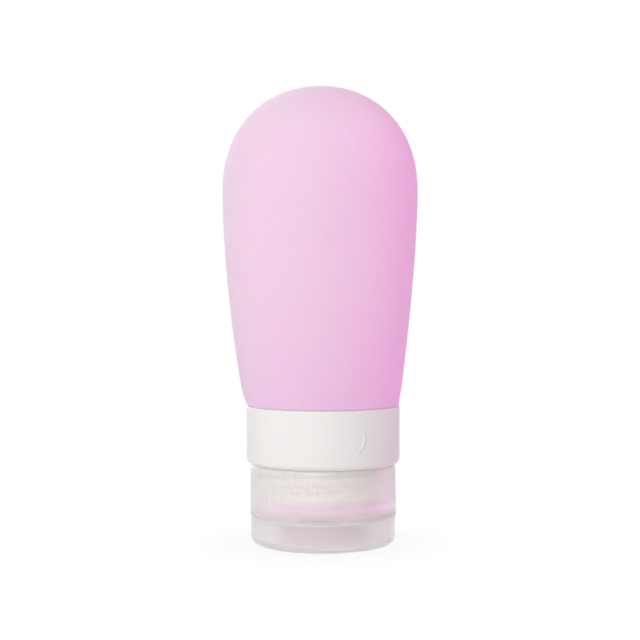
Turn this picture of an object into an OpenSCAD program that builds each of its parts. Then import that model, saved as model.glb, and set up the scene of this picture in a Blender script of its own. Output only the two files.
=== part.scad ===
// Travel squeeze tube, standing mouth down on its flip lid.
// The origin is the centre of the lid's end face and +Z runs up to the round end.
// The front faces -Y, and the lid hinges at the back.

/* [Bulb] */
// Height of the soft bulb above the collar
bulb_h = 78.4; // [72:0.1:86]
// Widest diameter of the bulb
bulb_d = 48.4; // [44:0.2:54]
// How far the round end is flatter than a true half ball
crown_drop = 1.1; // [0:0.1:2.5]
// How much larger the radius at the crown is than the bulb's own
crown_extra = 4.8; // [3:0.1:9]
// Thickness of the silicone wall
bulb_wall = 2; // [1.5:0.1:2.6]
// How far the heel of the bulb stands out past the collar
heel_proud = 0.5; // [0:0.1:0.8]
// Rounding of the heel
heel_round = 1.4; // [0.6:0.1:2]
// Thickness of the silicone floor where the neck leaves it
floor_t = 2.4; // [2:0.1:4]
// Slope of the floor towards the neck, in degrees
floor_slope = 30; // [20:1:40]

/* [Neck] */
// Thickness of the silicone neck inside the collar
neck_wall = 1.8; // [1.4:0.1:2.2]
// Thickness of the sealing lip at the end of the neck
lip_t = 2.2; // [1.6:0.1:3]
// How far the sealing lip reaches out over the sleeve
lip_reach = 2.2; // [1.2:0.1:2.4]
// Rounding of the sealing lip
lip_round = 0.6; // [0.3:0.1:0.8]

/* [Collar] */
// Outer diameter of the collar
collar_d = 38; // [37.4:0.2:40]
// Height of the collar
collar_h = 14.2; // [12:0.1:18]
// Wall of the collar's outer ring
collar_wall = 1.7; // [1.4:0.1:2]
// Rounding of the edge that faces the cap
collar_round = 1.5; // [0.6:0.1:1.6]
// Rounding of the edge that faces the bulb
collar_top_round = 0.4; // [0.2:0.1:0.8]
// Thickness of the web that joins the ring to the threaded sleeve
web_t = 1.8; // [1.4:0.1:3]
// Wall of the threaded sleeve
sleeve_wall = 1.4; // [1.2:0.1:1.7]
// Height of the crescent mark
mark_h = 4.9; // [3:0.1:8]
// Widest part of the crescent mark
mark_w = 0.6; // [0.4:0.1:1.2]
// How far the hollow side of the crescent mark bows
mark_bow = 0.35; // [0.2:0.05:1]
// How far the crescent mark stands out
mark_proud = 0.2; // [0.1:0.05:0.4]
// Turn of the crescent mark away from the front, in degrees
mark_turn = 27; // [0:1:90]
// Lean of the crescent mark, in degrees
mark_lean = 12; // [0:1:30]

/* [Screw cap] */
// Diameter of the cap where it meets the lid
cap_d = 36.2; // [35.4:0.1:36.6]
// Height of the cap's skirt
cap_h = 12.25; // [11:0.05:15]
// Wall of the skirt at the lid end
cap_wall = 1.5; // [1.2:0.1:1.8]
// How much the skirt narrows towards the collar, on its diameter
cap_draft = 0.4; // [0:0.1:0.8]
// Rounding of the skirt's edge at the collar
cap_round = 0.5; // [0.2:0.1:0.7]
// Rounding of the skirt's edge at the lid
cap_edge = 0.3; // [0.1:0.1:0.5]
// Thickness of the deck that closes the skirt
deck_t = 1; // [0.8:0.1:1.6]
// Gap between the skirt and the collar
cap_gap = 0.3; // [0.2:0.1:0.8]
// Space between the sleeve and the skirt for the thread
thread_room = 1.3; // [1:0.1:1.6]
// Width of the flat thumb notch above the lid
notch_w = 11.6; // [6:0.2:12]
// Height of the thumb notch
notch_h = 1.2; // [0.6:0.1:1.3]
// Distance from one grip rib to the next
rib_pitch = 0.89; // [0.8:0.01:1.6]
// Depth of the grooves between the grip ribs
rib_depth = 0.15; // [0.1:0.05:0.3]
// Plain band between the grip ribs and the hinge land
rib_low = 0.8; // [0.4:0.1:2]
// Plain band between the grip ribs and the collar
rib_high = 1.3; // [0.8:0.1:3]

/* [Slip ring] */
// Thickness of the ring between the sealing lip and the deck
slip_t = 0.5; // [0.3:0.1:1]

/* [Spout] */
// Outer diameter of the spout under the lid
spout_d = 21.8; // [20:0.2:24]
// Wall of the spout
spout_wall = 1.2; // [1:0.1:1.6]
// Thickness of the spout's end
spout_end = 1.2; // [1:0.1:1.5]
// Diameter of the outlet in the spout's end
outlet_d = 10; // [8:0.2:11]
// Gap between the spout's end and the inside of the lid
spout_gap = 0.5; // [0.3:0.1:0.9]

/* [Valve] */
// Thickness of the valve's clamped flange
valve_flange = 1.2; // [0.8:0.1:1.4]
// Thickness of the valve's slit head
valve_head = 0.8; // [0.6:0.1:1]
// Length of each of the two crossed slits
slit_l = 5.6; // [3:0.2:6]
// Height of the snap ring that holds the valve
retainer_h = 1.9; // [1.4:0.1:2.2]
// Inner diameter of the snap ring
retainer_bore = 12; // [9:0.5:14]

/* [Flip lid] */
// Height of the lid
lid_h = 7; // [6.6:0.1:9]
// Wall of the lid
lid_wall = 1.3; // [1:0.1:1.5]
// Thickness of the lid's end
lid_end = 1.4; // [1:0.1:1.8]
// Rounding of the lid's outer edge
lid_round = 2; // [1:0.1:2.4]
// How far the lid's wall is set in from the skirt
lid_set_in = 0.15; // [0.1:0.05:0.4]
// Seam between the lid and the deck
lid_seam = 0.15; // [0.1:0.05:0.3]
// Height of the rim that the lid closes over
rim_h = 0.8; // [0.5:0.1:1.2]
// Width of the hinge
hinge_w = 12; // [8:0.5:14]
// How far the hinge lands stand out from the skirt
land_out = 0.15; // [0.1:0.05:0.3]
// Height of each hinge land
land_h = 2; // [1.6:0.1:2.4]
// Thickness of the hinge's thin web
hinge_t = 0.35; // [0.25:0.05:0.5]
// Inner radius of the hinge's fold
hinge_fold = 0.45; // [0.3:0.05:0.6]

/* [Hidden] */
// Fit of the neck in the sleeve, and of the snap ring in the spout
fit = 0.1;
// Clearance round pieces that pass each other
clear = 0.3;
// Length by which a cut runs past the face it opens
over = 1;

cap_r = cap_d / 2;
skirt_bore = cap_r - cap_wall;
sleeve_r = skirt_bore - thread_room;
sleeve_bore = sleeve_r - sleeve_wall;
neck_r = sleeve_bore - fit;
mouth_r = neck_r - neck_wall;
lip_r = neck_r + lip_reach;

deck_z = lid_h + lid_seam;
slip_z = deck_z + deck_t;
lip_z = slip_z + slip_t;
sleeve_z = lip_z + lip_t;
skirt_z = deck_z + cap_h;
collar_z = skirt_z + cap_gap;
heel_z = collar_z + collar_h;
top_z = heel_z + bulb_h;

collar_r = collar_d / 2;
ring_bore = collar_r - collar_wall;

// The round end is a wide arc over the crown that runs into a tighter one at the shoulder.
bulb_r = bulb_d / 2;
dome_z = top_z - bulb_r + crown_drop;
crown_r = bulb_r + crown_extra;
crown_z = top_z - crown_r;
shoulder_r = bulb_r - crown_drop - pow(crown_drop, 2) / (2 * crown_extra);
shoulder_x = bulb_r - shoulder_r;
crown_angle = atan2(dome_z - crown_z, shoulder_x);

// The flank is one arc from the heel, upright where it meets the round end.
heel_r = collar_r + heel_proud;
flank_rise = dome_z - heel_z;
flank_r = (pow(flank_rise, 2) + pow(bulb_r - heel_r, 2)) / (2 * (bulb_r - heel_r));
flank_x = bulb_r - flank_r;
heel_x = flank_x + sqrt(pow(flank_r - heel_round, 2) - pow(flank_rise - heel_round, 2));
heel_angle = -asin((flank_rise - heel_round) / (flank_r - heel_round));
floor_z = heel_z + floor_t;

spout_r = spout_d / 2;
spout_bore = spout_r - spout_wall;
spout_z = lid_end + spout_gap;
outlet_r = outlet_d / 2;
flange_z = spout_z + spout_end;
head_z = flange_z + valve_head / 3 - valve_head;
retainer_z = flange_z + valve_flange;
retainer_r = spout_bore - fit;

lid_r = cap_r - lid_set_in;
lid_bore = lid_r - lid_wall;
rim_r = lid_bore - clear;
plug_r = outlet_r - 2.5 * clear;
land_y = cap_r + land_out;
hinge_z = lid_h + lid_seam / 2;

silicone = [0.95, 0.79, 0.91];
white_plastic = [0.93, 0.92, 0.91];
clear_plastic = [0.88, 0.86, 0.86, 0.75];

// Points along an arc, for the small roundings of a profile
function arc(x, y, r, from, to, steps = 6) =
    [for (i = [0:steps]) let (a = from + (to - from) * i / steps) [x + r * cos(a), y + r * sin(a)]];

// Half section of the bulb above height z, shrunk by inset
module bulb_half(inset, z) {
    seam_z = crown_z + (crown_r - inset) * sin(crown_angle);
    intersection() {
        translate([0, crown_z]) circle(r = crown_r - inset, $fn = 144);
        translate([0, seam_z]) square(bulb_r);
    }
    intersection() {
        translate([shoulder_x, dome_z]) circle(r = shoulder_r - inset, $fn = 144);
        translate([0, dome_z]) square([bulb_r, seam_z - dome_z]);
    }
    intersection() {
        translate([flank_x, dome_z]) circle(r = flank_r - inset, $fn = 720);
        translate([0, z]) square([bulb_r, dome_z - z]);
    }
}

// Half section of the heel, the neck and the sealing lip
module neck_half() {
    tangent_z = heel_z + heel_round + heel_round * sin(heel_angle);
    polygon(concat(
        [[0, lip_z]],
        arc(lip_r - lip_round, lip_z + lip_round, lip_round, -90, 0),
        arc(lip_r - lip_round, sleeve_z - lip_round, lip_round, 0, 90),
        [[neck_r, sleeve_z], [neck_r, heel_z]],
        arc(heel_x, heel_z + heel_round, heel_round, -90, heel_angle),
        [[0, tangent_z]]
    ));
}

// Half section of the space inside, from the mouth to the round end
module inside_half() {
    reach = heel_r - mouth_r;
    slope_z = floor_z + reach * tan(floor_slope);
    translate([0, lip_z - over]) square([mouth_r, floor_z - lip_z + 2 * over]);
    intersection() {
        bulb_half(bulb_wall, floor_z);
        polygon([[0, floor_z], [mouth_r, floor_z], [heel_r, slope_z], [bulb_r, slope_z],
            [bulb_r, top_z], [0, top_z]]);
    }
}

module squeeze_body() {
    tangent_z = heel_z + heel_round + heel_round * sin(heel_angle);
    color(silicone)
    rotate_extrude($fn = 144)
    difference() {
        union() {
            bulb_half(0, tangent_z);
            neck_half();
        }
        inside_half();
    }
}

// Disc whose edge passes both tips of the mark and stands out between them
module bow(rise) {
    r = (pow(mark_h / 2, 2) + pow(rise, 2)) / (2 * rise);
    translate([rise - r, 0]) circle(r = r, $fn = 96);
}

// Crescent that bulges to +X, with its tips above and below the origin
module crescent() {
    difference() {
        bow(mark_bow + mark_w);
        bow(mark_bow);
    }
}

module neck_collar() {
    color(white_plastic) {
        rotate_extrude($fn = 144)
        polygon(concat(
            [[sleeve_bore, sleeve_z], [sleeve_r - clear, sleeve_z], [sleeve_r, sleeve_z + clear],
                [sleeve_r, collar_z]],
            arc(collar_r - collar_round, collar_z + collar_round, collar_round, -90, 0, 8),
            arc(collar_r - collar_top_round, heel_z - collar_top_round, collar_top_round, 0, 90, 4),
            [[ring_bore, heel_z], [ring_bore, collar_z + web_t], [sleeve_r, collar_z + web_t],
                [sleeve_r, heel_z], [sleeve_bore, heel_z]]
        ));
        rotate([0, 0, mark_turn])
        translate([0, clear - collar_r, collar_z + collar_h / 2])
        rotate([90, mark_lean, 0])
        linear_extrude(clear + mark_proud)
        crescent();
    }
}

module slip_ring() {
    color(clear_plastic)
    translate([0, 0, slip_z])
    difference() {
        cylinder(r = lip_r, h = slip_t, $fn = 96);
        translate([0, 0, -over]) cylinder(r = mouth_r, h = slip_t + 2 * over, $fn = 96);
    }
}

// Flat land that the hinge grows from, between two heights
module hinge_land(z) {
    translate([-hinge_w / 2, 0, z]) cube([hinge_w, land_y, land_h]);
}

module screw_cap() {
    top_r = cap_r - cap_draft / 2;
    color(clear_plastic)
    difference() {
        union() {
            rotate_extrude($fn = 144)
            polygon(concat(
                [[0, deck_z]],
                arc(cap_r - cap_edge, deck_z + cap_edge, cap_edge, -90, 0, 4),
                arc(top_r - cap_round, skirt_z - cap_round, cap_round, 0, 90, 4),
                [[0, skirt_z]]
            ));
            hinge_land(deck_z);
            rotate_extrude($fn = 96)
            polygon(concat(
                [[0, spout_z]],
                arc(spout_r - clear, spout_z + clear, clear, -90, 0, 4),
                [[spout_r, deck_z + over], [0, deck_z + over]]
            ));
            translate([0, 0, deck_z - rim_h])
            difference() {
                cylinder(r = rim_r, h = rim_h + deck_t / 2, $fn = 96);
                translate([0, 0, -over]) cylinder(r = rim_r - lid_wall, h = rim_h + over, $fn = 96);
            }
        }
        translate([0, 0, slip_z]) cylinder(r = skirt_bore, h = cap_h, $fn = 96);
        translate([0, 0, flange_z]) cylinder(r = spout_bore, h = cap_h, $fn = 96);
        translate([0, 0, spout_z - over]) cylinder(r = outlet_r, h = cap_h, $fn = 96);
        thumb_notch();
        grip_grooves();
    }
}

// Grooves round the skirt that leave the grip ribs between them
module grip_grooves() {
    ribs = round(2 * PI * cap_r / rib_pitch);
    low = deck_z + land_h + rib_low;
    high = skirt_z - rib_high;
    middle_r = cap_r - cap_draft / 2 * ((low + high) / 2 - deck_z) / cap_h;
    translate([0, 0, low])
    linear_extrude(high - low)
    difference() {
        circle(r = cap_r + over, $fn = 96);
        polygon([for (i = [0 : 2 * ribs - 1])
            let (a = 180 * i / ribs, r = i % 2 == 0 ? middle_r - rib_depth : middle_r + rib_depth)
            [r * sin(a), -r * cos(a)]]);
    }
}

// Flat cut in the skirt's edge that bares the front of the lid's rim
module thumb_notch() {
    flat_y = sqrt(pow(cap_r, 2) - pow(notch_w / 2, 2));
    translate([-notch_w, -cap_r - over, deck_z - over])
    cube([2 * notch_w, cap_r + over - flat_y, notch_h + over]);
}

module dispensing_valve() {
    flange_r = spout_bore - fit;
    hold_r = outlet_r - 3 * clear;
    color(silicone)
    difference() {
        rotate_extrude($fn = 96)
        polygon([[0, head_z], [outlet_r - clear, head_z], [outlet_r - clear, flange_z],
            [flange_r, flange_z], [flange_r, retainer_z], [hold_r, retainer_z],
            [hold_r, head_z + valve_head], [0, head_z + valve_head]]);
        for (turn = [0, 90])
            rotate([0, 0, turn])
            translate([-slit_l / 2, -fit, head_z - over])
            cube([slit_l, 2 * fit, valve_head + 2 * over]);
    }
}

module valve_retainer() {
    bore = retainer_bore / 2;
    color(white_plastic)
    rotate_extrude($fn = 96)
    polygon([[bore, retainer_z], [retainer_r, retainer_z], [retainer_r, retainer_z + retainer_h - clear],
        [retainer_r - clear, retainer_z + retainer_h], [bore + clear, retainer_z + retainer_h],
        [bore, retainer_z + retainer_h - clear]]);
}

module living_hinge() {
    fold_r = hinge_fold + hinge_t;
    color(clear_plastic)
    translate([-hinge_w / 2, land_y, hinge_z])
    rotate([90, 0, 90])
    linear_extrude(hinge_w)
    intersection() {
        difference() {
            circle(r = fold_r, $fn = 48);
            circle(r = hinge_fold, $fn = 48);
        }
        translate([0, -fold_r]) square([fold_r, 2 * fold_r]);
    }
}

module flip_lid() {
    color(clear_plastic) {
        difference() {
            union() {
                rotate_extrude($fn = 144)
                polygon(concat(
                    [[0, 0]],
                    arc(lid_r - lid_round, lid_round, lid_round, -90, 0, 10),
                    [[lid_r, lid_h], [0, lid_h]]
                ));
                hinge_land(lid_h - land_h);
            }
            rotate_extrude($fn = 144)
            polygon(concat(
                [[0, lid_end]],
                arc(lid_bore - lid_round / 2, lid_end + lid_round / 2, lid_round / 2, -90, 0),
                [[lid_bore, lid_h + over], [0, lid_h + over]]
            ));
        }
        translate([0, 0, lid_end / 2])
        difference() {
            cylinder(r = plug_r, h = head_z - clear - lid_end / 2, $fn = 96);
            translate([0, 0, lid_end / 2]) cylinder(r = plug_r - lid_wall / 2, h = head_z, $fn = 96);
        }
    }
}

squeeze_body();
neck_collar();
slip_ring();
screw_cap();
dispensing_valve();
valve_retainer();
living_hinge();
flip_lid();
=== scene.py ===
# %% [markdown]
# # A travel squeeze tube, piece by piece
#
# The tube stands mouth down on its closed flip lid: a soft pink silicone bulb, a hard
# white collar round its neck, a translucent screw cap and a translucent lid. Almost
# every piece is round, so almost every piece is turned from a half section, as a lathe
# would turn it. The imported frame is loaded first, because it fixes where each piece
# goes and which body it moves with.

# %% Load the frame
import math

import bmesh
import bpy
from mathutils import Matrix, Vector


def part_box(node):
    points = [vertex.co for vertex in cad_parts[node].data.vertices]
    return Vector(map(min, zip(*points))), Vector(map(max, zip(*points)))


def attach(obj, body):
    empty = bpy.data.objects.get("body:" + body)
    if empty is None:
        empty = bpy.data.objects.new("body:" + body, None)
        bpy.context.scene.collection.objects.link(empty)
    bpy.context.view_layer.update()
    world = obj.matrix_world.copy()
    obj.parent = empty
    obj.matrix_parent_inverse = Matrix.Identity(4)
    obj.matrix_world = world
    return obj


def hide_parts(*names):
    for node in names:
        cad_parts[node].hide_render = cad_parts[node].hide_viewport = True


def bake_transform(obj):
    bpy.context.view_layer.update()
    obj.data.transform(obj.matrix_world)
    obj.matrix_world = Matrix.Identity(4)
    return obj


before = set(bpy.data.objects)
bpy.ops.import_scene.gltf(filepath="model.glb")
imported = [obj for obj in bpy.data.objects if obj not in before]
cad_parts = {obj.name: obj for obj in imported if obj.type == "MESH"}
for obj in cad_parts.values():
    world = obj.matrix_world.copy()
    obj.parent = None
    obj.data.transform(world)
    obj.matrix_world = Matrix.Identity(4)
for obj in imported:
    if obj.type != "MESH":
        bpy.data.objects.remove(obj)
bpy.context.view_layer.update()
MM = 0.001
TURN = 2 * math.pi
print("nodes:", sorted(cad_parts))

# %% [markdown]
# ## Camera
#
# The edges of the collar and the lid curve more the lower they sit, and the bulb's
# outline is known, so the camera can be worked out: 61 mm above the table, 347 mm away,
# looking a degree down through a 79 mm lens. It stands a hair to the left of the axis.

# %% Place the camera
CAMERA_PLACE_MM = (-0.77, -347.0, 61.0)
CAMERA_TILT_DEG = 1.0
camera = bpy.data.objects.new("camera", bpy.data.cameras.new("camera"))
camera.data.lens = 79.1
camera.data.sensor_width = 36.0
camera.data.clip_start = 0.01
camera.location = [c * MM for c in CAMERA_PLACE_MM]
camera.rotation_euler = (math.radians(90 - CAMERA_TILT_DEG), 0, 0)
bpy.context.scene.collection.objects.link(camera)
bpy.context.scene.camera = camera
bpy.context.scene.view_settings.view_transform = "Standard"
view_deg = math.degrees(camera.data.angle)
print("camera at", CAMERA_PLACE_MM, "mm, sees", round(view_deg, 1), "degrees")

# %% [markdown]
# ## Colours and nodes
#
# Colours are written as sRGB hex, the way a paint chart gives them, and one function
# turns them to the linear values that the shaders expect. A second small function adds
# a shader node, sets its fields and links its inputs, so each material below reads as
# a list of what it is made of.

# %% Helpers for materials
def linear(hex_colour):
    """Turns an sRGB hex colour into linear red, green, blue and a full alpha."""
    levels = [int(hex_colour[i : i + 2], 16) / 255 for i in (1, 3, 5)]
    return [c / 12.92 if c <= 0.04045 else ((c + 0.055) / 1.055) ** 2.4 for c in levels] + [1.0]


def add(tree, kind, links=None, values=None, **settings):
    """Adds one node, with links from sockets, values on inputs and settings on itself."""
    node = tree.nodes.new(kind)
    for name, value in settings.items():
        setattr(node, name, value)
    for name, value in (values or {}).items():
        node.inputs[name].default_value = value
    for name, socket in (links or {}).items():
        tree.links.new(socket, node.inputs[name])
    return node


def material(name):
    """Gives a new material, its node tree with only the output left in it, and that output."""
    made = bpy.data.materials.new(name)
    made.use_nodes = True
    made.node_tree.nodes.clear()
    return made, made.node_tree, add(made.node_tree, "ShaderNodeOutputMaterial")


print("half grey, #808080, is", round(linear("#808080")[0], 3), "in linear light")

# %% [markdown]
# ## Studio
#
# The photograph is a catalogue picture: pure white behind the tube, and broad soft
# light that is strongest from the front left. The world is plain white where it is
# seen, directly, through a clear piece or in a reflection, and a dim grey as a source
# of light, so the picture is white without more light on the tube.
#
# Four large white lamps stand for windows: left, front, back, and one high up on the
# right, which keeps the top of the round end from going dark. A pink card on the right
# gives the pink reflection that the photograph shows on that side of every piece.
#
# Two more lamps stand for light that has come through the object, which is hard to
# trace. The rubber glow is the red and blue that the hollow silicone wall passes on, and
# it lights the bulb alone. The white card is what the clear mouldings pass on, and it
# lights those alone.
#
# A lamp's power follows from the share of full daylight it should give at the tube: a
# white sheet there would send back that share of white.

# %% The white world
AMBIENT = 0.15
world = bpy.data.worlds.new("white studio")
world.use_nodes = True
bpy.context.scene.world = world
sky = world.node_tree
sky.nodes.clear()
ray = add(sky, "ShaderNodeLightPath")
seen = add(sky, "ShaderNodeMath", {0: ray.outputs["Is Camera Ray"],
                                   1: ray.outputs["Is Transmission Ray"]}, operation="MAXIMUM")
seen = add(sky, "ShaderNodeMath", {0: seen.outputs[0],
                                   1: ray.outputs["Is Glossy Ray"]}, operation="MAXIMUM")
level = add(sky, "ShaderNodeMapRange", {"Value": seen.outputs[0]},
            {"To Min": AMBIENT, "To Max": 1.0})
light = add(sky, "ShaderNodeBackground", {"Strength": level.outputs[0]}, {"Color": (1, 1, 1, 1)})
add(sky, "ShaderNodeOutputWorld", {"Surface": light.outputs[0]})
print("world: 1.0 where it is seen,", AMBIENT, "as light")

# %% Lamps
TUBE_MIDDLE = Vector((0, 0, 60 * MM))


def lamp(name, side_deg, up_deg, distance_mm, width_mm, share, colour=(1, 1, 1)):
    """Hangs a square lamp that faces the tube; side_deg is negative to the left of the front."""
    data = bpy.data.lights.new(name, "AREA")
    data.color = colour
    data.shape = "SQUARE"
    data.size = width_mm * MM
    data.energy = share * math.pi**2 * (distance_mm * MM) ** 2
    made = bpy.data.objects.new(name, data)
    side, up = math.radians(side_deg), math.radians(up_deg)
    away = Vector((math.sin(side) * math.cos(up), -math.cos(side) * math.cos(up), math.sin(up)))
    made.location = TUBE_MIDDLE + away * distance_mm * MM
    made.rotation_euler = away.to_track_quat("Z", "Y").to_euler()
    bpy.context.scene.collection.objects.link(made)
    print(name, "gives", share, "of full light")
    return made


lamp("left window", -85, 15, 700, 600, 0.15)
lamp("front window", -18, 27, 900, 600, 0.65)
lamp("top window", 85, 70, 900, 600, 0.21)
lamp("back window", -160, 25, 900, 700, 0.34)
lamp("pink card", 105, 5, 500, 300, 0.175, (1, 0.09, 0.72))
rubber_glow = lamp("rubber glow", 80, 8, 500, 300, 0.22, (1, 0, 0.85))
white_card = lamp("white card", 110, 5, 500, 300, 0.05)

# %% [markdown]
# ## The white table
#
# The tube stands on white paper, which is pure white in the photograph. Where the paper
# is seen it is see-through, so the white world shows instead, and a small share of real
# paper is left near the tube to keep a faint shadow. To all other rays it is matte paper
# that is softly lit, and sends some light up under the tube. Its underside is
# see-through too, so a lid that has swung lower than the table shows whole from below.

# %% The white table
REACH_M = 3.0
PAPER_DROP_MM = 0.05  # just under the lid, so that the two faces never share a place
TABLE_GLOW = 0.28
SHADOW_FULL_MM, SHADOW_GONE_MM, WHITE_IN_SHADOW = 17, 34, 0.88

floor_mesh = bpy.data.meshes.new("floor")
floor_mesh.from_pydata([(-REACH_M, -REACH_M, 0), (REACH_M, -REACH_M, 0), (REACH_M, REACH_M, 0),
                        (-REACH_M, REACH_M, 0)], [], [(0, 1, 2, 3)])
floor = bpy.data.objects.new("floor", floor_mesh)
floor.location.z = -PAPER_DROP_MM * MM
bpy.context.scene.collection.objects.link(floor)

white_paper, tree, output = material("white paper sweep")
ray = add(tree, "ShaderNodeLightPath")
seen = add(tree, "ShaderNodeMath", {0: ray.outputs["Is Camera Ray"],
                                    1: ray.outputs["Is Transmission Ray"]}, operation="MAXIMUM")
seen = add(tree, "ShaderNodeMath", {0: seen.outputs[0],
                                    1: ray.outputs["Is Glossy Ray"]}, operation="MAXIMUM")
place = add(tree, "ShaderNodeTexCoord")
far = add(tree, "ShaderNodeVectorMath", {0: place.outputs["Object"]}, operation="LENGTH")
white = add(tree, "ShaderNodeMapRange", {"Value": far.outputs["Value"]},
            {"From Min": SHADOW_FULL_MM * MM, "From Max": SHADOW_GONE_MM * MM,
             "To Min": WHITE_IN_SHADOW, "To Max": 1.0})
share = add(tree, "ShaderNodeMath", {0: seen.outputs[0], 1: white.outputs[0]},
            operation="MULTIPLY")
share = add(tree, "ShaderNodeMath", {0: share.outputs[0]}, {1: TABLE_GLOW}, operation="MAXIMUM")
paper = add(tree, "ShaderNodeBsdfDiffuse", values={"Color": linear("#f4f4f4")})
glow = add(tree, "ShaderNodeEmission", values={"Color": (1, 1, 1, 1), "Strength": 1.0})
none = add(tree, "ShaderNodeBsdfTransparent")
glow = add(tree, "ShaderNodeMixShader",
           {0: seen.outputs[0], 1: glow.outputs[0], 2: none.outputs[0]})
both = add(tree, "ShaderNodeMixShader",
           {0: share.outputs[0], 1: paper.outputs[0], 2: glow.outputs[0]})
side = add(tree, "ShaderNodeNewGeometry")
both = add(tree, "ShaderNodeMixShader",
           {0: side.outputs["Backfacing"], 1: both.outputs[0], 2: none.outputs[0]})
tree.links.new(both.outputs[0], output.inputs["Surface"])
floor_mesh.materials.append(white_paper)
print("table", PAPER_DROP_MM, "mm under the lid, its shadow gone at", SHADOW_GONE_MM, "mm")

# %% [markdown]
# ## Silicone
#
# The bulb is moulded silicone rubber, pigmented pale pink and blasted to a matte skin,
# so it has no hard highlight. Light goes into the rubber and comes out a little way off,
# red farther than green. That is subsurface scattering with a longer red radius than a
# green one, and it keeps the shaded side pink instead of grey. A large soft cloud varies
# the pigment. The lower bulb is painted a deeper pink, fully below 37 mm and fading out
# by 62 mm: painted shade. The real blasted grain is finer than a pixel, so it is drawn as
# coarse as it needs to show, 0.7 mm.

# %% Pink silicone
CLOUD_MM, SKIN_GRAIN_MM = 14, 0.7
PAINTED_SHADE_FULL_BELOW_MM, PAINTED_SHADE_GONE_ABOVE_MM = 37, 62

silicone, tree, output = material("pink silicone")
place = add(tree, "ShaderNodeTexCoord")
cloud = add(tree, "ShaderNodeTexNoise", {"Vector": place.outputs["Object"]},
            {"Scale": 1 / (CLOUD_MM * MM), "Detail": 2.0})
pink = add(tree, "ShaderNodeMix", {"Factor": cloud.outputs["Fac"]},
           {"A": linear("#eecee4"), "B": linear("#f0d3e7")}, data_type="RGBA")
height = add(tree, "ShaderNodeSeparateXYZ", {"Vector": place.outputs["Object"]})
# painted shade: the rubber is painted a deeper pink, #eecae5, fully below 37 mm and fading out by
# 62 mm
thick_plastic_and_painted_shade = add(tree, "ShaderNodeMapRange", {"Value": height.outputs["Z"]},
            {"From Min": PAINTED_SHADE_FULL_BELOW_MM * MM, "From Max": PAINTED_SHADE_GONE_ABOVE_MM * MM,
             "To Min": 1.0, "To Max": 0.0})
pink = add(tree, "ShaderNodeMix", {"Factor": thick_plastic_and_painted_shade.outputs[0], "A": pink.outputs["Result"]},
           {"B": linear("#eecae5")}, data_type="RGBA")
skin = add(tree, "ShaderNodeTexNoise", {"Vector": place.outputs["Object"]},
           {"Scale": 1 / (SKIN_GRAIN_MM * MM), "Detail": 3.0, "Roughness": 0.6})
grain = add(tree, "ShaderNodeBump", {"Height": skin.outputs["Fac"]},
            {"Strength": 0.12, "Distance": 0.05 * MM})
rubber = add(tree, "ShaderNodeBsdfPrincipled",
             {"Base Color": pink.outputs["Result"], "Normal": grain.outputs[0]},
             {"Roughness": 0.62, "IOR": 1.41, "Subsurface Weight": 1.0,
              "Subsurface Scale": 1 * MM, "Subsurface Radius": (1.0, 0.4, 0.7),
              "Specular IOR Level": 0.2})
tree.links.new(rubber.outputs[0], output.inputs["Surface"])
print(silicone.name, "nodes:", len(tree.nodes))

# %% [markdown]
# ## White polypropylene
#
# The collar is injection-moulded polypropylene with white pigment. It has a satin
# skin: a soft highlight, and a slight softness at its edges because light enters it a
# little before it comes back. Its skin has the faint unevenness of a moulded face.

# %% White polypropylene
WHITE_FLOW_MM = 1.6

white_pp, tree, output = material("white polypropylene")
place = add(tree, "ShaderNodeTexCoord")
flow = add(tree, "ShaderNodeTexNoise", {"Vector": place.outputs["Object"]},
           {"Scale": 1 / (WHITE_FLOW_MM * MM), "Detail": 2.0})
peel = add(tree, "ShaderNodeBump", {"Height": flow.outputs["Fac"]},
           {"Strength": 0.1, "Distance": 0.05 * MM})
satin = add(tree, "ShaderNodeBsdfPrincipled", {"Normal": peel.outputs[0]},
            {"Base Color": linear("#eeecea"), "Roughness": 0.38, "IOR": 1.49,
             "Subsurface Weight": 0.3, "Subsurface Scale": 1 * MM,
             "Subsurface Radius": (1.0, 0.9, 0.8)})
tree.links.new(satin.outputs[0], output.inputs["Surface"])
print(white_pp.name, "nodes:", len(tree.nodes))

# %% [markdown]
# ## Natural polypropylene
#
# The cap and the lid are polypropylene without pigment. It is clear enough to show the
# spout and the pink lip inside, but crystals in it scatter light, so it looks milky and
# blurs what lies behind. A rough refraction under a smoother coat gives the blur and the
# gloss, and a share of white diffuse and translucent light gives the milk.
#
# The milk is thickest at the deck, which shows edge on, and a little thicker at the
# lid's end. Over the spout and the deck's edge the milk is painted pink: painted light,
# for the pink of the silicone valve and lip behind them. To shadow and diffuse rays the
# plastic is nearly clear, so the pieces inside get their light through it, as they do in the real
# cap.

# %% Natural polypropylene: where it is thick, and where pink light is painted on it
CLEAR_FLOW_MM = 2.2
DECK_MIDDLE_MM, DECK_THICK_MM, DECK_THIN_MM = 7.7, 0.5, 1.2
END_THICK_MM, END_THIN_MM, END_SHARE = 1.0, 2.4, 0.3
SPOUT_WITHIN_MM, SPOUT_ABOVE_MM = 11.2, 2.35
MILK_THIN, MILK_THICK, MILK_THROUGH = 0.36, 0.8, 0.5
PASSED_ON = 0.94

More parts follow.
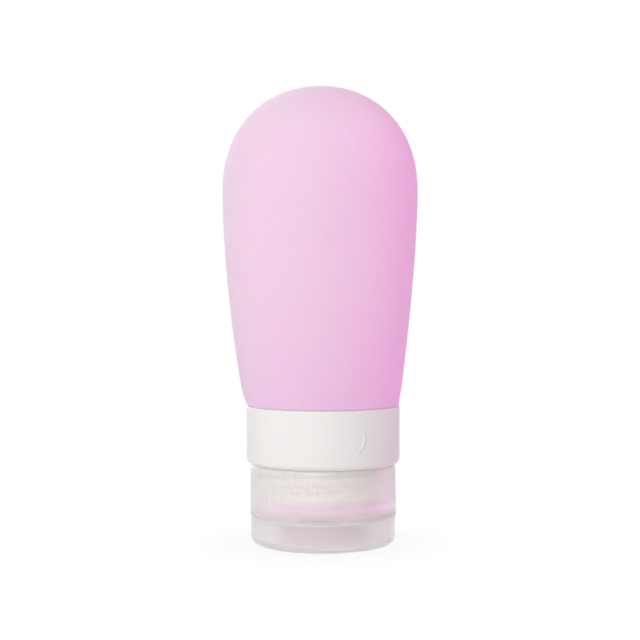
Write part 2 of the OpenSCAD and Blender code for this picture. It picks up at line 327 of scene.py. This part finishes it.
clear_pp, tree, output = material("natural polypropylene")
place = add(tree, "ShaderNodeTexCoord")
height = add(tree, "ShaderNodeSeparateXYZ", {"Vector": place.outputs["Object"]})
from_deck = add(tree, "ShaderNodeMath", {0: height.outputs["Z"]}, {1: DECK_MIDDLE_MM * MM},
                operation="SUBTRACT")
from_deck = add(tree, "ShaderNodeMath", {0: from_deck.outputs[0]}, operation="ABSOLUTE")
deck_edge = add(tree, "ShaderNodeMapRange", {"Value": from_deck.outputs[0]},
                {"From Min": DECK_THICK_MM * MM, "From Max": DECK_THIN_MM * MM,
                 "To Min": 1.0, "To Max": 0.0})
end_edge = add(tree, "ShaderNodeMapRange", {"Value": height.outputs["Z"]},
               {"From Min": END_THICK_MM * MM, "From Max": END_THIN_MM * MM,
                "To Min": END_SHARE, "To Max": 0.0})
thick_plastic_and_painted_shade = add(tree, "ShaderNodeMath", {0: deck_edge.outputs[0], 1: end_edge.outputs[0]},
            operation="MAXIMUM")
milky = add(tree, "ShaderNodeMapRange", {"Value": thick_plastic_and_painted_shade.outputs[0]},
            {"To Min": MILK_THIN, "To Max": MILK_THICK})
# where the painted pink light goes: the spout, and the deck's edge
across = add(tree, "ShaderNodeVectorMath", {0: place.outputs["Object"]}, {1: (1, 1, 0)},
             operation="MULTIPLY")
across = add(tree, "ShaderNodeVectorMath", {0: across.outputs[0]}, operation="LENGTH")
middle = add(tree, "ShaderNodeMath", {0: across.outputs["Value"]}, {1: SPOUT_WITHIN_MM * MM},
             operation="LESS_THAN")
above = add(tree, "ShaderNodeMath", {0: height.outputs["Z"]}, {1: SPOUT_ABOVE_MM * MM},
            operation="GREATER_THAN")
spout = add(tree, "ShaderNodeMath", {0: middle.outputs[0], 1: above.outputs[0]},
            operation="MULTIPLY")
painted_pink_mask = add(tree, "ShaderNodeMath", {0: spout.outputs[0], 1: deck_edge.outputs[0]},
             operation="MAXIMUM")
print("milk from", MILK_THIN, "in the walls to", MILK_THICK, "at the deck")

# %% Natural polypropylene: the milk, the clear share and what they make together
# painted light: the milk is painted pink over the spout, #ebc4e1, and faintly over the deck's
# edge, #f6f2f5, for the pink of the valve and lip behind
painted_pink = add(tree, "ShaderNodeMix", {"Factor": spout.outputs[0]},
                {"A": linear("#f6f2f5"), "B": linear("#ebc4e1")}, data_type="RGBA")
milk_with_painted_pink = add(tree, "ShaderNodeMix",
           {"Factor": painted_pink_mask.outputs[0], "B": painted_pink.outputs["Result"]},
           {"A": linear("#f1f1f1")}, data_type="RGBA")
milk_front = add(tree, "ShaderNodeBsdfDiffuse", {"Color": milk_with_painted_pink.outputs["Result"]})
milk_back = add(tree, "ShaderNodeBsdfTranslucent", {"Color": milk_with_painted_pink.outputs["Result"]})
milk = add(tree, "ShaderNodeMixShader", {1: milk_front.outputs[0], 2: milk_back.outputs[0]},
           {0: MILK_THROUGH})
flow = add(tree, "ShaderNodeTexNoise", {"Vector": place.outputs["Object"]},
           {"Scale": 1 / (CLEAR_FLOW_MM * MM), "Detail": 3.0})
peel = add(tree, "ShaderNodeBump", {"Height": flow.outputs["Fac"]},
           {"Strength": 0.12, "Distance": 0.06 * MM})
window = add(tree, "ShaderNodeBsdfPrincipled", {"Normal": peel.outputs[0]},
             {"Base Color": linear("#fdfbfa"), "Roughness": 0.22, "IOR": 1.49,
              "Coat Weight": 1.0, "Coat Roughness": 0.1, "Transmission Weight": 1.0})
frosted = add(tree, "ShaderNodeMixShader",
              {0: milky.outputs[0], 1: window.outputs[0], 2: milk.outputs[0]})
ray = add(tree, "ShaderNodeLightPath")
shade = add(tree, "ShaderNodeMath", {0: ray.outputs["Is Shadow Ray"],
                                     1: ray.outputs["Is Diffuse Ray"]}, operation="MAXIMUM")
shade = add(tree, "ShaderNodeMath", {0: shade.outputs[0]}, {1: PASSED_ON}, operation="MULTIPLY")
clear = add(tree, "ShaderNodeBsdfTransparent", values={"Color": linear("#fdfbfa")})
mixed = add(tree, "ShaderNodeMixShader",
            {0: shade.outputs[0], 1: frosted.outputs[0], 2: clear.outputs[0]})
tree.links.new(mixed.outputs[0], output.inputs["Surface"])
print(clear_pp.name, "nodes:", len(tree.nodes))

# %% [markdown]
# ## Turning a piece
#
# A half section is a list of corners: radius, height and how round the corner is, all
# in millimetres. Moulded edges are never sharp, and each small rounding catches a thin
# line of light, so nearly every corner gets one. The section is then spun round the
# axis. A relief function may move each point in or out as it is spun, which makes ribs,
# threads and flats out of the one closed surface, with no seams to hide.

# %% A half section with rounded corners
def rounded(corners, steps=5):
    """Rounds each (radius, height, rounding, rows) corner, and splits the edge after it."""
    points = []
    count = len(corners)
    for i, (r, z, rounding, rows) in enumerate(corners):
        here = Vector((r, z))
        before = Vector(corners[i - 1][:2])
        after = Vector(corners[(i + 1) % count][:2])
        if rounding and r > 0:
            into, out = (before - here).normalized(), (after - here).normalized()
            half = into.angle(out) / 2
            back = rounding / math.tan(half)
            centre = here + (into + out).normalized() * rounding / math.sin(half)
            first, last = here + into * back - centre, here + out * back - centre
            sweep = first.angle_signed(last)
            for k in range(steps + 1):
                spun = first.copy()
                spun.rotate(Matrix.Rotation(-sweep * k / steps, 2))
                points.append(centre + spun)
        else:
            points.append(here)
        end = after
        next_rounding = corners[(i + 1) % count][2]
        if next_rounding and after.x > 0:
            beyond = Vector(corners[(i + 2) % count][:2])
            half = (here - after).angle(beyond - after) / 2
            end = after + (here - after).normalized() * next_rounding / math.tan(half)
        start = points[-1].copy()
        for k in range(1, rows):
            points.append(start.lerp(end, k / rows))
    return [(p.x, p.y) for p in points]


def arc_points(x, z, r, start_deg, end_deg, steps):
    """Points of an arc in the section, in degrees from +radius towards +height."""
    return [(x + r * math.cos(math.radians(a)), z + r * math.sin(math.radians(a)))
            for a in (start_deg + (end_deg - start_deg) * k / steps for k in range(steps + 1))]


print("a square of four rounded corners has",
      len(rounded([(1, 0, 0.1, 1), (2, 0, 0.1, 1), (2, 1, 0.1, 1), (1, 1, 0.1, 1)])), "points")

# %% The lathe
ON_AXIS_MM = 1e-6


def made_piece(shape, name, finish, smooth=True):
    """Turns a finished bmesh into an object in the scene, with its material."""
    bmesh.ops.recalc_face_normals(shape, faces=shape.faces)
    mesh = bpy.data.meshes.new(name)
    shape.to_mesh(mesh)
    shape.free()
    mesh.polygons.foreach_set("use_smooth", [smooth] * len(mesh.polygons))
    mesh.materials.append(finish)
    piece = bpy.data.objects.new(name, mesh)
    bpy.context.scene.collection.objects.link(piece)
    print(name, "faces:", len(mesh.polygons))
    return piece


def turned(name, section, columns, finish, relief=None):
    """Spins a closed section round Z into one closed mesh."""
    shape = bmesh.new()
    rings = []
    for r, z in section:
        if r < ON_AXIS_MM:
            rings.append([shape.verts.new((0, 0, z * MM))])
            continue
        ring = []
        for c in range(columns):
            turn = TURN * c / columns
            reach = relief(r, z, turn) if relief else r
            ring.append(shape.verts.new((reach * math.sin(turn) * MM,
                                         -reach * math.cos(turn) * MM, z * MM)))
        rings.append(ring)
    for a, b in zip(rings, rings[1:] + rings[:1]):
        if len(a) == 1 and len(b) == 1:
            continue
        for c in range(columns):
            d = (c + 1) % columns
            if len(a) == 1:
                shape.faces.new((a[0], b[d], b[c]))
            elif len(b) == 1:
                shape.faces.new((a[c], a[d], b[0]))
            else:
                shape.faces.new((a[c], a[d], b[d], b[c]))
    piece = made_piece(shape, name, finish)
    even = piece.modifiers.new("even shading", "WEIGHTED_NORMAL")
    even.keep_sharp = True
    return piece


print("a 38 mm ring of 320 columns has faces", round(TURN * 19 / 320, 2), "mm wide")


# %% [markdown]
# ## Sizes
#
# The frame gives the outer boxes of the pieces. The walls and roundings that a box
# can't tell are written here once, in millimetres, and all the sections below use them.
# The collar, the cap and the lid are 0.1 to 0.2 mm smaller in radius than their solids,
# as the outline in the photograph asks.

# %% Sizes
def box_mm(node):
    """Lowest and highest corner of a node, in millimetres."""
    low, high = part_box(node)
    return [c / MM for c in low], [c / MM for c in high]


BODY_LOW, BODY_HIGH = box_mm("squeeze_body")
COLLAR_LOW, COLLAR_HIGH = box_mm("neck_collar")
CAP_LOW, CAP_HIGH = box_mm("screw_cap")
LID_HIGH = box_mm("flip_lid")[1]
SLIP_LOW = box_mm("slip_ring")[0]
TOP_Z, LIP_Z = BODY_HIGH[2], BODY_LOW[2]
BULB_R = (BODY_HIGH[0] - BODY_LOW[0]) / 2
SLEEVE_Z, HEEL_Z = COLLAR_LOW[2], COLLAR_HIGH[2]
COLLAR_R, COLLAR_Z = 18.87, 19.7
MOUTH_R, NECK_R, LIP_R = 12.0, 13.8, 16.0
SLEEVE_BORE, SLEEVE_R = 13.9, 15.3
SKIRT_Z, DECK_Z, DECK_TOP = CAP_HIGH[2], 7.15, SLIP_LOW[2]
CAP_R, CAP_TOP_R, SKIRT_BORE = 18.0, 17.8, 16.6
SPOUT_R, SPOUT_BORE, SPOUT_Z, SPOUT_END, OUTLET_R = 10.9, 9.7, CAP_LOW[2], 1.2, 5.0
LID_R, LID_BORE, LID_TOP, LID_END = 17.78, 16.6, LID_HIGH[2], 1.4
LAND_Y, LAND_HALF, LAND_H = LID_HIGH[1], 6.0, 2.0
print("bulb radius", round(BULB_R, 2), "top", round(TOP_Z, 2), "land", round(LAND_Y, 2))

# %% [markdown]
# ## Squeeze body
#
# The bulb, its neck and the sealing lip are one silicone moulding. Above its widest
# height the bulb is a little squarer than half an ellipse, and below it each flank draws
# in faster and faster towards the heel, so one formula gives each stretch. In its last
# few millimetres the flank tucks in a little more and meets the collar nearly flush. The
# wall is 2 mm thick, so the section runs up the outside and back down the inside. Soft
# silicone never stands dead straight, so the bulb leans over by less than a millimetre.

# %% The bulb's outline
WALL, FLOOR_T, FLOOR_SLOPE, HEEL_ROUND = 2.0, 2.4, math.tan(math.radians(30)), 0.8
CROWN_Z = TOP_Z - 0.1
SOFT_R, HEEL_R, WIDEST_Z = BULB_R - 0.2, COLLAR_R + 0.23, TOP_Z - 25.8
SQUARE, DRAW_IN, TUCK, TUCK_H = 2.15, 1.65, 0.5, 5.8


def flank_r(z, inset=0.0):
    """Radius of the flank at a height, for the outside or for a wall's inside."""
    down = (WIDEST_Z - z) / (WIDEST_Z - HEEL_Z)
    tuck = TUCK * max(0, 1 - (z - HEEL_Z) / TUCK_H) ** 2
    return SOFT_R - inset - tuck - (SOFT_R - HEEL_R) * down**DRAW_IN


def flank(low, high, inset, steps):
    """Points up the flank between two heights."""
    heights = (low + (high - low) * k / steps for k in range(steps))
    return [(flank_r(z, inset), z) for z in heights]


def dome(inset, steps):
    """Points from the widest height to the top: an ellipse made slightly square."""
    quarter = [math.pi / 2 * k / steps for k in range(steps)]
    wide, tall = SOFT_R - inset, CROWN_Z - WIDEST_Z - inset
    return [(wide * math.cos(t) ** (2 / SQUARE), WIDEST_Z + tall * math.sin(t) ** (2 / SQUARE))
            for t in quarter] + [(0, CROWN_Z - inset)]


print("flank", round(flank_r(HEEL_Z), 2), "mm at the heel,", round(SOFT_R, 2), "at its widest")

# %% The heel and the floor inside it
HEEL_END_DEG, HEEL_STEP_IN = -50, 0.1
SLOPE_R, FLOOR_MID = 17.9, 3.0
MOUTH_EDGE = [(0.6, 0.2), (0.1, -0.3), (0.0, -1.0)]  # out from the mouth, up from the floor

floor_z = HEEL_Z + FLOOR_T
slope_z = floor_z + (SLOPE_R - MOUTH_R) * FLOOR_SLOPE
tangent_deg = -math.degrees(math.atan(
    DRAW_IN * (SOFT_R - HEEL_R) / (WIDEST_Z - HEEL_Z) + 2 * TUCK / TUCK_H))
heel_mid_z = HEEL_Z - HEEL_ROUND * math.sin(math.radians(HEEL_END_DEG))
tangent_z = heel_mid_z + HEEL_ROUND * math.sin(math.radians(tangent_deg))
heel_x = flank_r(tangent_z) - HEEL_ROUND * math.cos(math.radians(tangent_deg))
heel_end_x = heel_x + HEEL_ROUND * math.cos(math.radians(HEEL_END_DEG)) - HEEL_STEP_IN
print("heel tangent", round(tangent_z, 2), "floor corner", SLOPE_R, round(slope_z, 2))

# %% Squeeze body
FLANK_CLEAR, INSIDE_CLEAR = 0.4, 1.5  # gaps that let the flank run smoothly into its ends

body_section = rounded([
    (MOUTH_R, LIP_Z, 0.4, 1), (LIP_R, LIP_Z, 0.6, 1), (LIP_R, SLEEVE_Z, 0.6, 1),
    (NECK_R, SLEEVE_Z, 0.2, 8), (NECK_R, HEEL_Z, 0.3, 2), (heel_end_x, HEEL_Z, 0, 1)])
body_section += arc_points(heel_x, heel_mid_z, HEEL_ROUND, HEEL_END_DEG, tangent_deg, 6)
body_section += flank(tangent_z + FLANK_CLEAR, WIDEST_Z, 0, 64) + dome(0, 44)
inside = flank(slope_z + INSIDE_CLEAR, WIDEST_Z, WALL, 30) + dome(WALL, 30)
body_section += inside[::-1]
body_section += [(SLOPE_R, slope_z), (MOUTH_R + FLOOR_MID, floor_z + FLOOR_MID * FLOOR_SLOPE)]
body_section += [(MOUTH_R + out, floor_z + up) for out, up in MOUTH_EDGE]
mouth_z = floor_z + MOUTH_EDGE[-1][1]
body_section += [(MOUTH_R, mouth_z - k * (mouth_z - LIP_Z - 1.0) / 8) for k in range(1, 8)]
squeeze_body = turned("squeeze_body_skin", body_section, 192, silicone)

# %% The bulb's lean
LEAN, LEAN_SETS_IN, LEAN_EASES_BELOW, LEAN_EASE = -0.75, 0.03, 0.45, 0.6


def lean_mm(share):
    """Sideways lean at a share of the height from heel to top, a gentle bow that grows."""
    eased = 1 - LEAN_EASE * max(0, 1 - share / LEAN_EASES_BELOW) ** 2
    return LEAN * min(share / LEAN_SETS_IN, 1) * eased


for v in squeeze_body.data.vertices:
    share_up = (v.co.z / MM - HEEL_Z) / (TOP_Z - HEEL_Z)
    if share_up > 0:
        v.co.x += lean_mm(share_up) * MM
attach(squeeze_body, "tube")
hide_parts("squeeze_body")
glowing = bpy.data.collections.new("lit by the rubber glow")
glowing.objects.link(squeeze_body)
rubber_glow.light_linking.receiver_collection = glowing
print("leans", round(lean_mm(1), 2), "mm at the top")

# %% [markdown]
# ## Neck collar
#
# The collar is one hard moulding: the ring that shows, a web, and the sleeve that
# carries the thread for the cap. The thread is a relief on the sleeve: a ridge 5 mm
# from turn to turn, with sloped sides, that fades in and out at its ends.

# %% The thread
PITCH, THREAD_LOW, THREAD_HIGH = 5.0, SLEEVE_Z + 0.9, COLLAR_Z - 1.2
THREAD_OUT, THREAD_IN = 0.9, 0.55  # heights of the sleeve's ridge and of the cap's
ON_WALL = 0.01  # a point this near to a wall's radius is on that wall


def ridge(z, turn, low, high, crest=0.9, slope=0.55, fade=0.5):
    """Height, from 0 to 1, of a one-start thread at a height and a turn round the axis."""
    faded = max(0.0, min(1.0, (z - low) / fade, (high - z) / fade))
    phase = (z - low - PITCH * turn / TURN + 0.5 * PITCH) % PITCH - 0.5 * PITCH
    return faded * max(0.0, min(1.0, (crest / 2 + slope - abs(phase)) / slope))


def sleeve_thread(r, z, turn):
    """Raises the male thread from the outside of the sleeve."""
    if abs(r - SLEEVE_R) < ON_WALL and THREAD_LOW < z < THREAD_HIGH:
        return r + THREAD_OUT * ridge(z, turn, THREAD_LOW, THREAD_HIGH)
    return r


print("thread:", round((THREAD_HIGH - THREAD_LOW) / PITCH, 1), "turns,", THREAD_OUT, "mm high")

# %% Neck collar
RING_BORE, WEB_T = 17.3, 1.8
collar_section = rounded([
    (SLEEVE_BORE, SLEEVE_Z, 0.15, 1), (SLEEVE_R, SLEEVE_Z, 0.3, 36),
    (SLEEVE_R, COLLAR_Z, 0.2, 1), (COLLAR_R, COLLAR_Z, 1.5, 2),
    (COLLAR_R, HEEL_Z, 0.4, 1), (RING_BORE, HEEL_Z, 0.15, 1),
    (RING_BORE, COLLAR_Z + WEB_T, 0.3, 1), (SLEEVE_R, COLLAR_Z + WEB_T, 0.3, 1),
    (SLEEVE_R + 2 * ON_WALL, HEEL_Z, 0.1, 1), (SLEEVE_BORE, HEEL_Z, 0.1, 1)], steps=6)
neck_collar = turned("neck_collar_ring", collar_section, 320, white_pp, sleeve_thread)
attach(neck_collar, "tube")
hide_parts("neck_collar")

# %% [markdown]
# ### The index mark
#
# A thin raised crescent stands on the ring, to the right of the front. It is drawn
# flat as the gap between two arcs that share their tips, and then wrapped round the
# ring. Its top is a low dome, so one side of it catches the light.

# %% The crescent, drawn flat and wrapped
MARK_H, MARK_W, MARK_BOW, MARK_PROUD = 5.6, 0.75, 1.6, 0.3
MARK_TURN, MARK_LEAN = math.radians(27), math.radians(12)


def bow_at(v, bow):
    """How far an arc through both tips stands out at height v."""
    radius = ((MARK_H / 2) ** 2 + bow**2) / (2 * bow)
    return bow - radius + math.sqrt(radius**2 - v**2)


def on_ring(u, v, out):
    """A point of the flat drawing, leaned and wrapped round the ring."""
    along = u * math.cos(MARK_LEAN) + v * math.sin(MARK_LEAN)
    up = v * math.cos(MARK_LEAN) - u * math.sin(MARK_LEAN)
    turn = MARK_TURN + along / COLLAR_R
    r = COLLAR_R + out
    return (r * math.sin(turn) * MM, -r * math.cos(turn) * MM,
            ((COLLAR_Z + HEEL_Z) / 2 + up) * MM)


print("the crescent bows", MARK_BOW, "mm over", MARK_H, "mm")

# %% Index mark
# Across the mark: a share of its width, and a share of its height above the ring.
ACROSS = [(0.0, -0.3), (0.0, 0.25), (0.2, 0.8), (0.5, 1.0), (0.8, 0.8), (1.0, 0.25), (1.0, -0.3)]
MARK_STEPS = 36
shape = bmesh.new()
slices = []
for k in range(MARK_STEPS + 1):
    v = -MARK_H / 2 + MARK_H * (k + 0.5) / (MARK_STEPS + 1)
    inner, outer = bow_at(v, MARK_BOW - MARK_W), bow_at(v, MARK_BOW)
    slices.append([shape.verts.new(on_ring(inner + (outer - inner) * a, v, MARK_PROUD * h))
                   for a, h in ACROSS])
for a, b in zip(slices, slices[1:]):
    for i in range(len(ACROSS)):
        j = (i + 1) % len(ACROSS)
        shape.faces.new((a[i], a[j], b[j], b[i]))
shape.faces.new(slices[0])
shape.faces.new(slices[-1])
index_mark = made_piece(shape, "index_mark", white_pp)
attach(index_mark, "tube")

# %% [markdown]
# ## Screw cap
#
# The cap is a skirt, the deck that closes it and the spout below the deck. One section
# holds all three. Its relief adds what isn't round: 128 grip ribs on the skirt, the
# female thread inside, the flat thumb notch at the front and the flat hinge land at
# the back. Each step of the relief has a row of points just before and just after it.

# %% The cap's relief
RIBS, RIB_LOW, RIB_HIGH, RIB_DEPTH = 128, 9.95, 18.1, 0.08
RIB_FADE, RIB_FADE_ROW = 0.25, 0.12
NOTCH_TOP, NOTCH_HALF = DECK_Z + 1.2, 5.8
OUTER_SKIN, TOP_EDGE = 0.6, 0.4  # the relief stays off what is deeper or higher than this


def skirt_r(z):
    """Outer radius of the skirt, which narrows a little towards the collar."""
    return CAP_R + (CAP_TOP_R - CAP_R) * (z - DECK_Z) / (SKIRT_Z - DECK_Z)


def land(r, turn, wall_r):
    """Pushes the back of a round wall out to the flat hinge land."""
    if math.cos(turn) < 0 and abs(wall_r * math.sin(turn)) < LAND_HALF:
        return r + LAND_Y / abs(math.cos(turn)) - wall_r
    return r


def cap_relief(r, z, turn):
    """Ribs, thumb notch, hinge land and female thread of the cap."""
    if abs(r - SKIRT_BORE) < ON_WALL:
        inner = ridge(z, turn + math.pi, THREAD_LOW - 0.4, THREAD_HIGH + 1.0)
        return r - THREAD_IN * inner
    if r < CAP_TOP_R - OUTER_SKIN or z > SKIRT_Z - TOP_EDGE:
        return r
    if z < NOTCH_TOP and math.cos(turn) > 0:
        flat_y = math.sqrt(CAP_R**2 - NOTCH_HALF**2)
        return min(r, flat_y / math.cos(turn))
    if z < DECK_Z + LAND_H:
        return land(r, turn, CAP_R)
    fade = max(0.0, min(1.0, (z - RIB_LOW) / RIB_FADE, (RIB_HIGH - z) / RIB_FADE))
    return r - RIB_DEPTH * fade * (0.5 - 0.5 * math.cos(RIBS * turn))


print("a rib every", round(TURN * CAP_R / RIBS, 2), "mm")

# %% Screw cap
RIM_R, RIM_WALL, RIM_H = LID_BORE - 0.3, 1.3, 0.8
STEP = 0.02
wall_heights = [
    NOTCH_TOP - STEP, NOTCH_TOP + STEP, DECK_Z + LAND_H - STEP, DECK_Z + LAND_H + STEP,
    RIB_LOW, RIB_LOW + RIB_FADE_ROW, RIB_LOW + RIB_FADE, 12.0, 14.0, 16.0,
    RIB_HIGH - RIB_FADE, RIB_HIGH - RIB_FADE_ROW, RIB_HIGH]

cap_section = rounded([
    (OUTLET_R, SPOUT_Z, 0.3, 1), (SPOUT_R, SPOUT_Z, 0.6, 2), (SPOUT_R, DECK_Z, 0.4, 1),
    (RIM_R - RIM_WALL, DECK_Z, 0.15, 1), (RIM_R - RIM_WALL, DECK_Z - RIM_H, 0.15, 1),
    (RIM_R, DECK_Z - RIM_H, 0.25, 1), (RIM_R, DECK_Z, 0.1, 1), (CAP_R, DECK_Z, 0.15, 1)]
    + [(skirt_r(z), z, 0, 1) for z in wall_heights]
    + [(CAP_TOP_R, SKIRT_Z, 0.5, 1), (SKIRT_BORE, SKIRT_Z, 0.3, 44),
       (SKIRT_BORE, DECK_TOP, 0.3, 1), (SPOUT_BORE, DECK_TOP, 0.3, 2),
       (SPOUT_BORE, SPOUT_Z + SPOUT_END, 0.1, 1), (OUTLET_R, SPOUT_Z + SPOUT_END, 0.15, 1)],
    steps=3)
screw_cap = turned("screw_cap_moulding", cap_section, 5 * RIBS, clear_pp, cap_relief)
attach(screw_cap, "cap")
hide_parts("screw_cap")

# %% [markdown]
# ## Flip lid
#
# The lid is a shallow cup with a softly rounded edge, on which the tube stands. A ring
# in its middle plugs the outlet when it shuts. It has the same flat land at the back.

# %% Flip lid
PLUG_R, PLUG_BORE, PLUG_TOP = 4.25, 3.6, 2.27
LID_SKIN = 0.4  # the land stays off what is deeper than this in the lid's wall


def lid_relief(r, z, turn):
    """Flat hinge land of the lid."""
    if z > LID_TOP - LAND_H and r > LID_R - LID_SKIN:
        return land(r, turn, LID_R)
    return r


lid_section = rounded([
    (0, 0, 0, 3), (LID_R, 0, 2.0, 1), (LID_R, LID_TOP - LAND_H - STEP, 0, 1),
    (LID_R, LID_TOP - LAND_H + STEP, 0, 1), (LID_R, LID_TOP, 0.08, 1),
    (LID_BORE, LID_TOP, 0.2, 1), (LID_BORE, LID_END, 1.0, 2), (PLUG_R, LID_END, 0.3, 1),
    (PLUG_R, PLUG_TOP, 0.25, 1), (PLUG_BORE, PLUG_TOP, 0.2, 1),
    (PLUG_BORE, LID_END, 0.2, 1), (0, LID_END, 0, 1)], steps=8)
flip_lid = turned("flip_lid_moulding", lid_section, 320, clear_pp, lid_relief)
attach(flip_lid, "lid")
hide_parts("flip_lid")

# %% [markdown]
# ## Living hinge
#
# Lid and cap are one moulding, joined at the back by a web thin enough to bend for
# thousands of openings. Shut, it folds outward in a small loop.

# %% Living hinge
HINGE_LOW, HINGE_HIGH = box_mm("living_hinge")
WEB_THICK = 0.35
hinge_z = (HINGE_LOW[2] + HINGE_HIGH[2]) / 2
fold_out = (HINGE_HIGH[2] - HINGE_LOW[2]) / 2
fold_in = fold_out - WEB_THICK
BENDS, SLABS = 24, 12
shape = bmesh.new()
slabs = []
for s in range(SLABS + 1):
    x = (-LAND_HALF + 2 * LAND_HALF * s / SLABS) * MM
    loop = []
    for radius, order in ((fold_out, range(BENDS + 1)), (fold_in, range(BENDS, -1, -1))):
        for k in order:
            bend = math.pi * (k / BENDS - 0.5)
            loop.append(shape.verts.new((x, (LAND_Y + radius * math.cos(bend)) * MM,
                                         (hinge_z + radius * math.sin(bend)) * MM)))
    slabs.append(loop)
for a, b in zip(slabs, slabs[1:]):
    for i in range(len(a)):
        j = (i + 1) % len(a)
        shape.faces.new((a[i], a[j], b[j], b[i]))
for loop in (slabs[0], slabs[-1]):
    for k in range(BENDS):
        shape.faces.new((loop[k], loop[k + 1], loop[-2 - k], loop[-1 - k]))
hinge_web = made_piece(shape, "hinge_web", clear_pp, smooth=False)
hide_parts("living_hinge")
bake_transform(hinge_web)

# %% Light for the clear pieces
clear_pieces = bpy.data.collections.new("lit by the white card")
for piece in (screw_cap, flip_lid, hinge_web):
    clear_pieces.objects.link(piece)
white_card.light_linking.receiver_collection = clear_pieces

# %% [markdown]
# ## Small pieces inside
#
# The valve, the ring that holds it and the slip ring keep their shapes from the frame,
# and get the finishes that they have on the real tube.

# %% Finish the inner pieces
INNER_FINISHES = {"dispensing_valve": silicone, "valve_retainer": white_pp, "slip_ring": clear_pp}
for node, finish in INNER_FINISHES.items():
    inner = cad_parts[node]
    for slot in inner.material_slots:
        slot.material = finish
    print(node, "finished with", finish.name)
